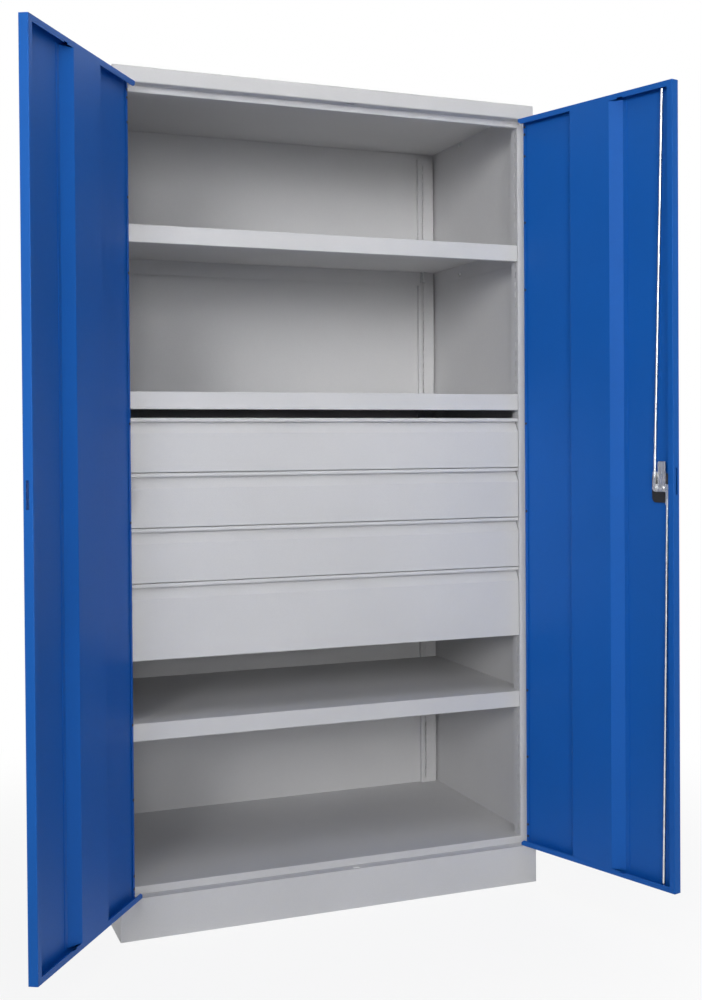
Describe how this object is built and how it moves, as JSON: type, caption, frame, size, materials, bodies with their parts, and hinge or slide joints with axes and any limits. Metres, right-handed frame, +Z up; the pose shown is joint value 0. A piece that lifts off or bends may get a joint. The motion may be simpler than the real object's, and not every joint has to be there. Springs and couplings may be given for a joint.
{
  "type": "storage cabinet",
  "caption": "Tall two-door sheet-steel storage cabinet with shelves, full-width drawers on rollers, folded doors and a cam lock driving bolts up and down.",
  "frame": {"origin": "on the floor under the middle of the case, between its front fascia plane and its back", "axes": "+X to the right as one faces the cabinet, +Y from its front to its back, +Z up"},
  "size_m": [1.409, 1.1676, 1.95],
  "materials": {
    "case_enamel": "fine-textured light grey enamel",
    "door_enamel": "satin blue enamel",
    "zinc_steel": "bright zinc-plated steel",
    "black_plastic": "matt black moulded plastic",
    "lock_chrome": "polished"
  },
  "bodies": {
    "carcass": {"top_cap": "case_enamel", "top_rail": "case_enamel", "left_side_panel": "case_enamel", "right_side_panel": "case_enamel", "back_panel": "case_enamel", "floor_pan": "case_enamel", "plinth": "case_enamel", "left_front_post": "case_enamel", "right_front_post": "case_enamel", "left_rear_post": "case_enamel", "right_rear_post": "case_enamel", "shelf_1": "case_enamel", "shelf_2": "case_enamel", "shelf_3": "case_enamel", "shelf_clips": "zinc_steel", "left_hinge_frame_leaves": "case_enamel", "right_hinge_frame_leaves": "case_enamel", "left_hinge_pins": "zinc_steel", "right_hinge_pins": "zinc_steel", "drawer_1_runners": "zinc_steel", "drawer_2_runners": "zinc_steel", "drawer_3_runners": "zinc_steel", "drawer_4_runners": "zinc_steel"},
    "left_door_leaf": {"left_door": "door_enamel", "left_door_stiffener": "door_enamel", "left_hinge_door_leaves": "door_enamel"},
    "right_door_leaf": {"right_door": "door_enamel", "right_door_stiffener": "door_enamel", "right_hinge_door_leaves": "door_enamel", "lock_base": "black_plastic", "handle_escutcheon": "black_plastic"},
    "handle_and_cam": {"handle": "black_plastic", "lock_cam": "zinc_steel"},
    "cylinder": {"lock_cylinder": "lock_chrome"},
    "upper_bolt": {"upper_rod": "zinc_steel"},
    "lower_bolt": {"lower_rod": "zinc_steel"},
    "drawer_1": {"drawer_1_box": "case_enamel", "drawer_1_front": "case_enamel", "drawer_1_rails": "case_enamel"},
    "drawer_1_front_roller_pair": {"drawer_1_front_rollers": "black_plastic"},
    "drawer_1_rear_roller_pair": {"drawer_1_rear_rollers": "black_plastic"},
    "drawer_2": {"drawer_2_box": "case_enamel", "drawer_2_front": "case_enamel", "drawer_2_rails": "case_enamel"},
    "drawer_2_front_roller_pair": {"drawer_2_front_rollers": "black_plastic"},
    "drawer_2_rear_roller_pair": {"drawer_2_rear_rollers": "black_plastic"},
    "drawer_3": {"drawer_3_box": "case_enamel", "drawer_3_front": "case_enamel", "drawer_3_rails": "case_enamel"},
    "drawer_3_front_roller_pair": {"drawer_3_front_rollers": "black_plastic"},
    "drawer_3_rear_roller_pair": {"drawer_3_rear_rollers": "black_plastic"},
    "drawer_4": {"drawer_4_box": "case_enamel", "drawer_4_front": "case_enamel", "drawer_4_rails": "case_enamel"},
    "drawer_4_front_roller_pair": {"drawer_4_front_rollers": "black_plastic"},
    "drawer_4_rear_roller_pair": {"drawer_4_rear_rollers": "black_plastic"}
  },
  "joints": [
    {"name": "left_door_hinge", "type": "hinge", "parent": "carcass", "child": "left_door_leaf", "pos_m": [-0.502, -0.345, 1.005], "axis": [0, 0, -1], "range_deg": [-122, 58]},
    {"name": "right_door_hinge", "type": "hinge", "parent": "carcass", "child": "right_door_leaf", "pos_m": [0.502, -0.345, 1.005], "axis": [0, 0, 1], "range_deg": [-106.35, 73.65]},
    {"name": "handle_turn", "type": "hinge", "parent": "right_door_leaf", "child": "handle_and_cam", "pos_m": [0.63516, -0.78115, 1.005], "axis": [0.9596, 0.2815, 0], "range_deg": [0, 90]},
    {"name": "cylinder_turn", "type": "hinge", "parent": "handle_and_cam", "child": "cylinder", "pos_m": [0.64476, -0.77834, 1.005], "axis": [0.9596, 0.2815, 0], "range_deg": [0, 90]},
    {"name": "upper_rod_pivot", "type": "hinge", "parent": "handle_and_cam", "child": "upper_bolt", "pos_m": [0.60291, -0.76998, 1.005], "axis": [0.9596, 0.2815, 0], "range_deg": [-95, 2]},
    {"name": "lower_rod_pivot", "type": "hinge", "parent": "handle_and_cam", "child": "lower_bolt", "pos_m": [0.61406, -0.80798, 1.005], "axis": [0.9596, 0.2815, 0], "range_deg": [-95, 2]},
    {"name": "drawer_1_slide", "type": "slide", "parent": "carcass", "child": "drawer_1", "axis": [0, -1, 0], "range_m": [0, 0.465]},
    {"name": "drawer_1_front_roller_spin", "type": "hinge", "parent": "carcass", "child": "drawer_1_front_roller_pair", "pos_m": [0, -0.2815, 1.057], "axis": [1, 0, 0], "range_deg": [0, 2430]},
    {"name": "drawer_1_rear_roller_spin", "type": "hinge", "parent": "drawer_1", "child": "drawer_1_rear_roller_pair", "pos_m": [0, 0.272, 1.0805], "axis": [1, 0, 0], "range_deg": [0, 2430]},
    {"name": "drawer_2_slide", "type": "slide", "parent": "carcass", "child": "drawer_2", "axis": [0, -1, 0], "range_m": [0, 0.465]},
    {"name": "drawer_2_front_roller_spin", "type": "hinge", "parent": "carcass", "child": "drawer_2_front_roller_pair", "pos_m": [0, -0.2815, 0.932], "axis": [1, 0, 0], "range_deg": [0, 2430]},
    {"name": "drawer_2_rear_roller_spin", "type": "hinge", "parent": "drawer_2", "child": "drawer_2_rear_roller_pair", "pos_m": [0, 0.272, 0.9555], "axis": [1, 0, 0], "range_deg": [0, 2430]},
    {"name": "drawer_3_slide", "type": "slide", "parent": "carcass", "child": "drawer_3", "axis": [0, -1, 0], "range_m": [0, 0.465]},
    {"name": "drawer_3_front_roller_spin", "type": "hinge", "parent": "carcass", "child": "drawer_3_front_roller_pair", "pos_m": [0, -0.2815, 0.807], "axis": [1, 0, 0], "range_deg": [0, 2430]},
    {"name": "drawer_3_rear_roller_spin", "type": "hinge", "parent": "drawer_3", "child": "drawer_3_rear_roller_pair", "pos_m": [0, 0.272, 0.8305], "axis": [1, 0, 0], "range_deg": [0, 2430]},
    {"name": "drawer_4_slide", "type": "slide", "parent": "carcass", "child": "drawer_4", "axis": [0, -1, 0], "range_m": [0, 0.465]},
    {"name": "drawer_4_front_roller_spin", "type": "hinge", "parent": "carcass", "child": "drawer_4_front_roller_pair", "pos_m": [0, -0.2815, 0.632], "axis": [1, 0, 0], "range_deg": [0, 2430]},
    {"name": "drawer_4_rear_roller_spin", "type": "hinge", "parent": "drawer_4", "child": "drawer_4_rear_roller_pair", "pos_m": [0, 0.272, 0.6555], "axis": [1, 0, 0], "range_deg": [0, 2430]}
  ],
  "couplings": [
    {"joint": "upper_rod_pivot", "follows": "handle_turn", "ratio": -1.0138},
    {"joint": "lower_rod_pivot", "follows": "handle_turn", "ratio": -1.014},
    {"joint": "drawer_1_front_roller_spin", "follows": "drawer_1_slide", "rad_per_m": 90.909},
    {"joint": "drawer_1_rear_roller_spin", "follows": "drawer_1_slide", "rad_per_m": 90.909},
    {"joint": "drawer_2_front_roller_spin", "follows": "drawer_2_slide", "rad_per_m": 90.909},
    {"joint": "drawer_2_rear_roller_spin", "follows": "drawer_2_slide", "rad_per_m": 90.909},
    {"joint": "drawer_3_front_roller_spin", "follows": "drawer_3_slide", "rad_per_m": 90.909},
    {"joint": "drawer_3_rear_roller_spin", "follows": "drawer_3_slide", "rad_per_m": 90.909},
    {"joint": "drawer_4_front_roller_spin", "follows": "drawer_4_slide", "rad_per_m": 90.909},
    {"joint": "drawer_4_rear_roller_spin", "follows": "drawer_4_slide", "rad_per_m": 90.909}
  ]
}
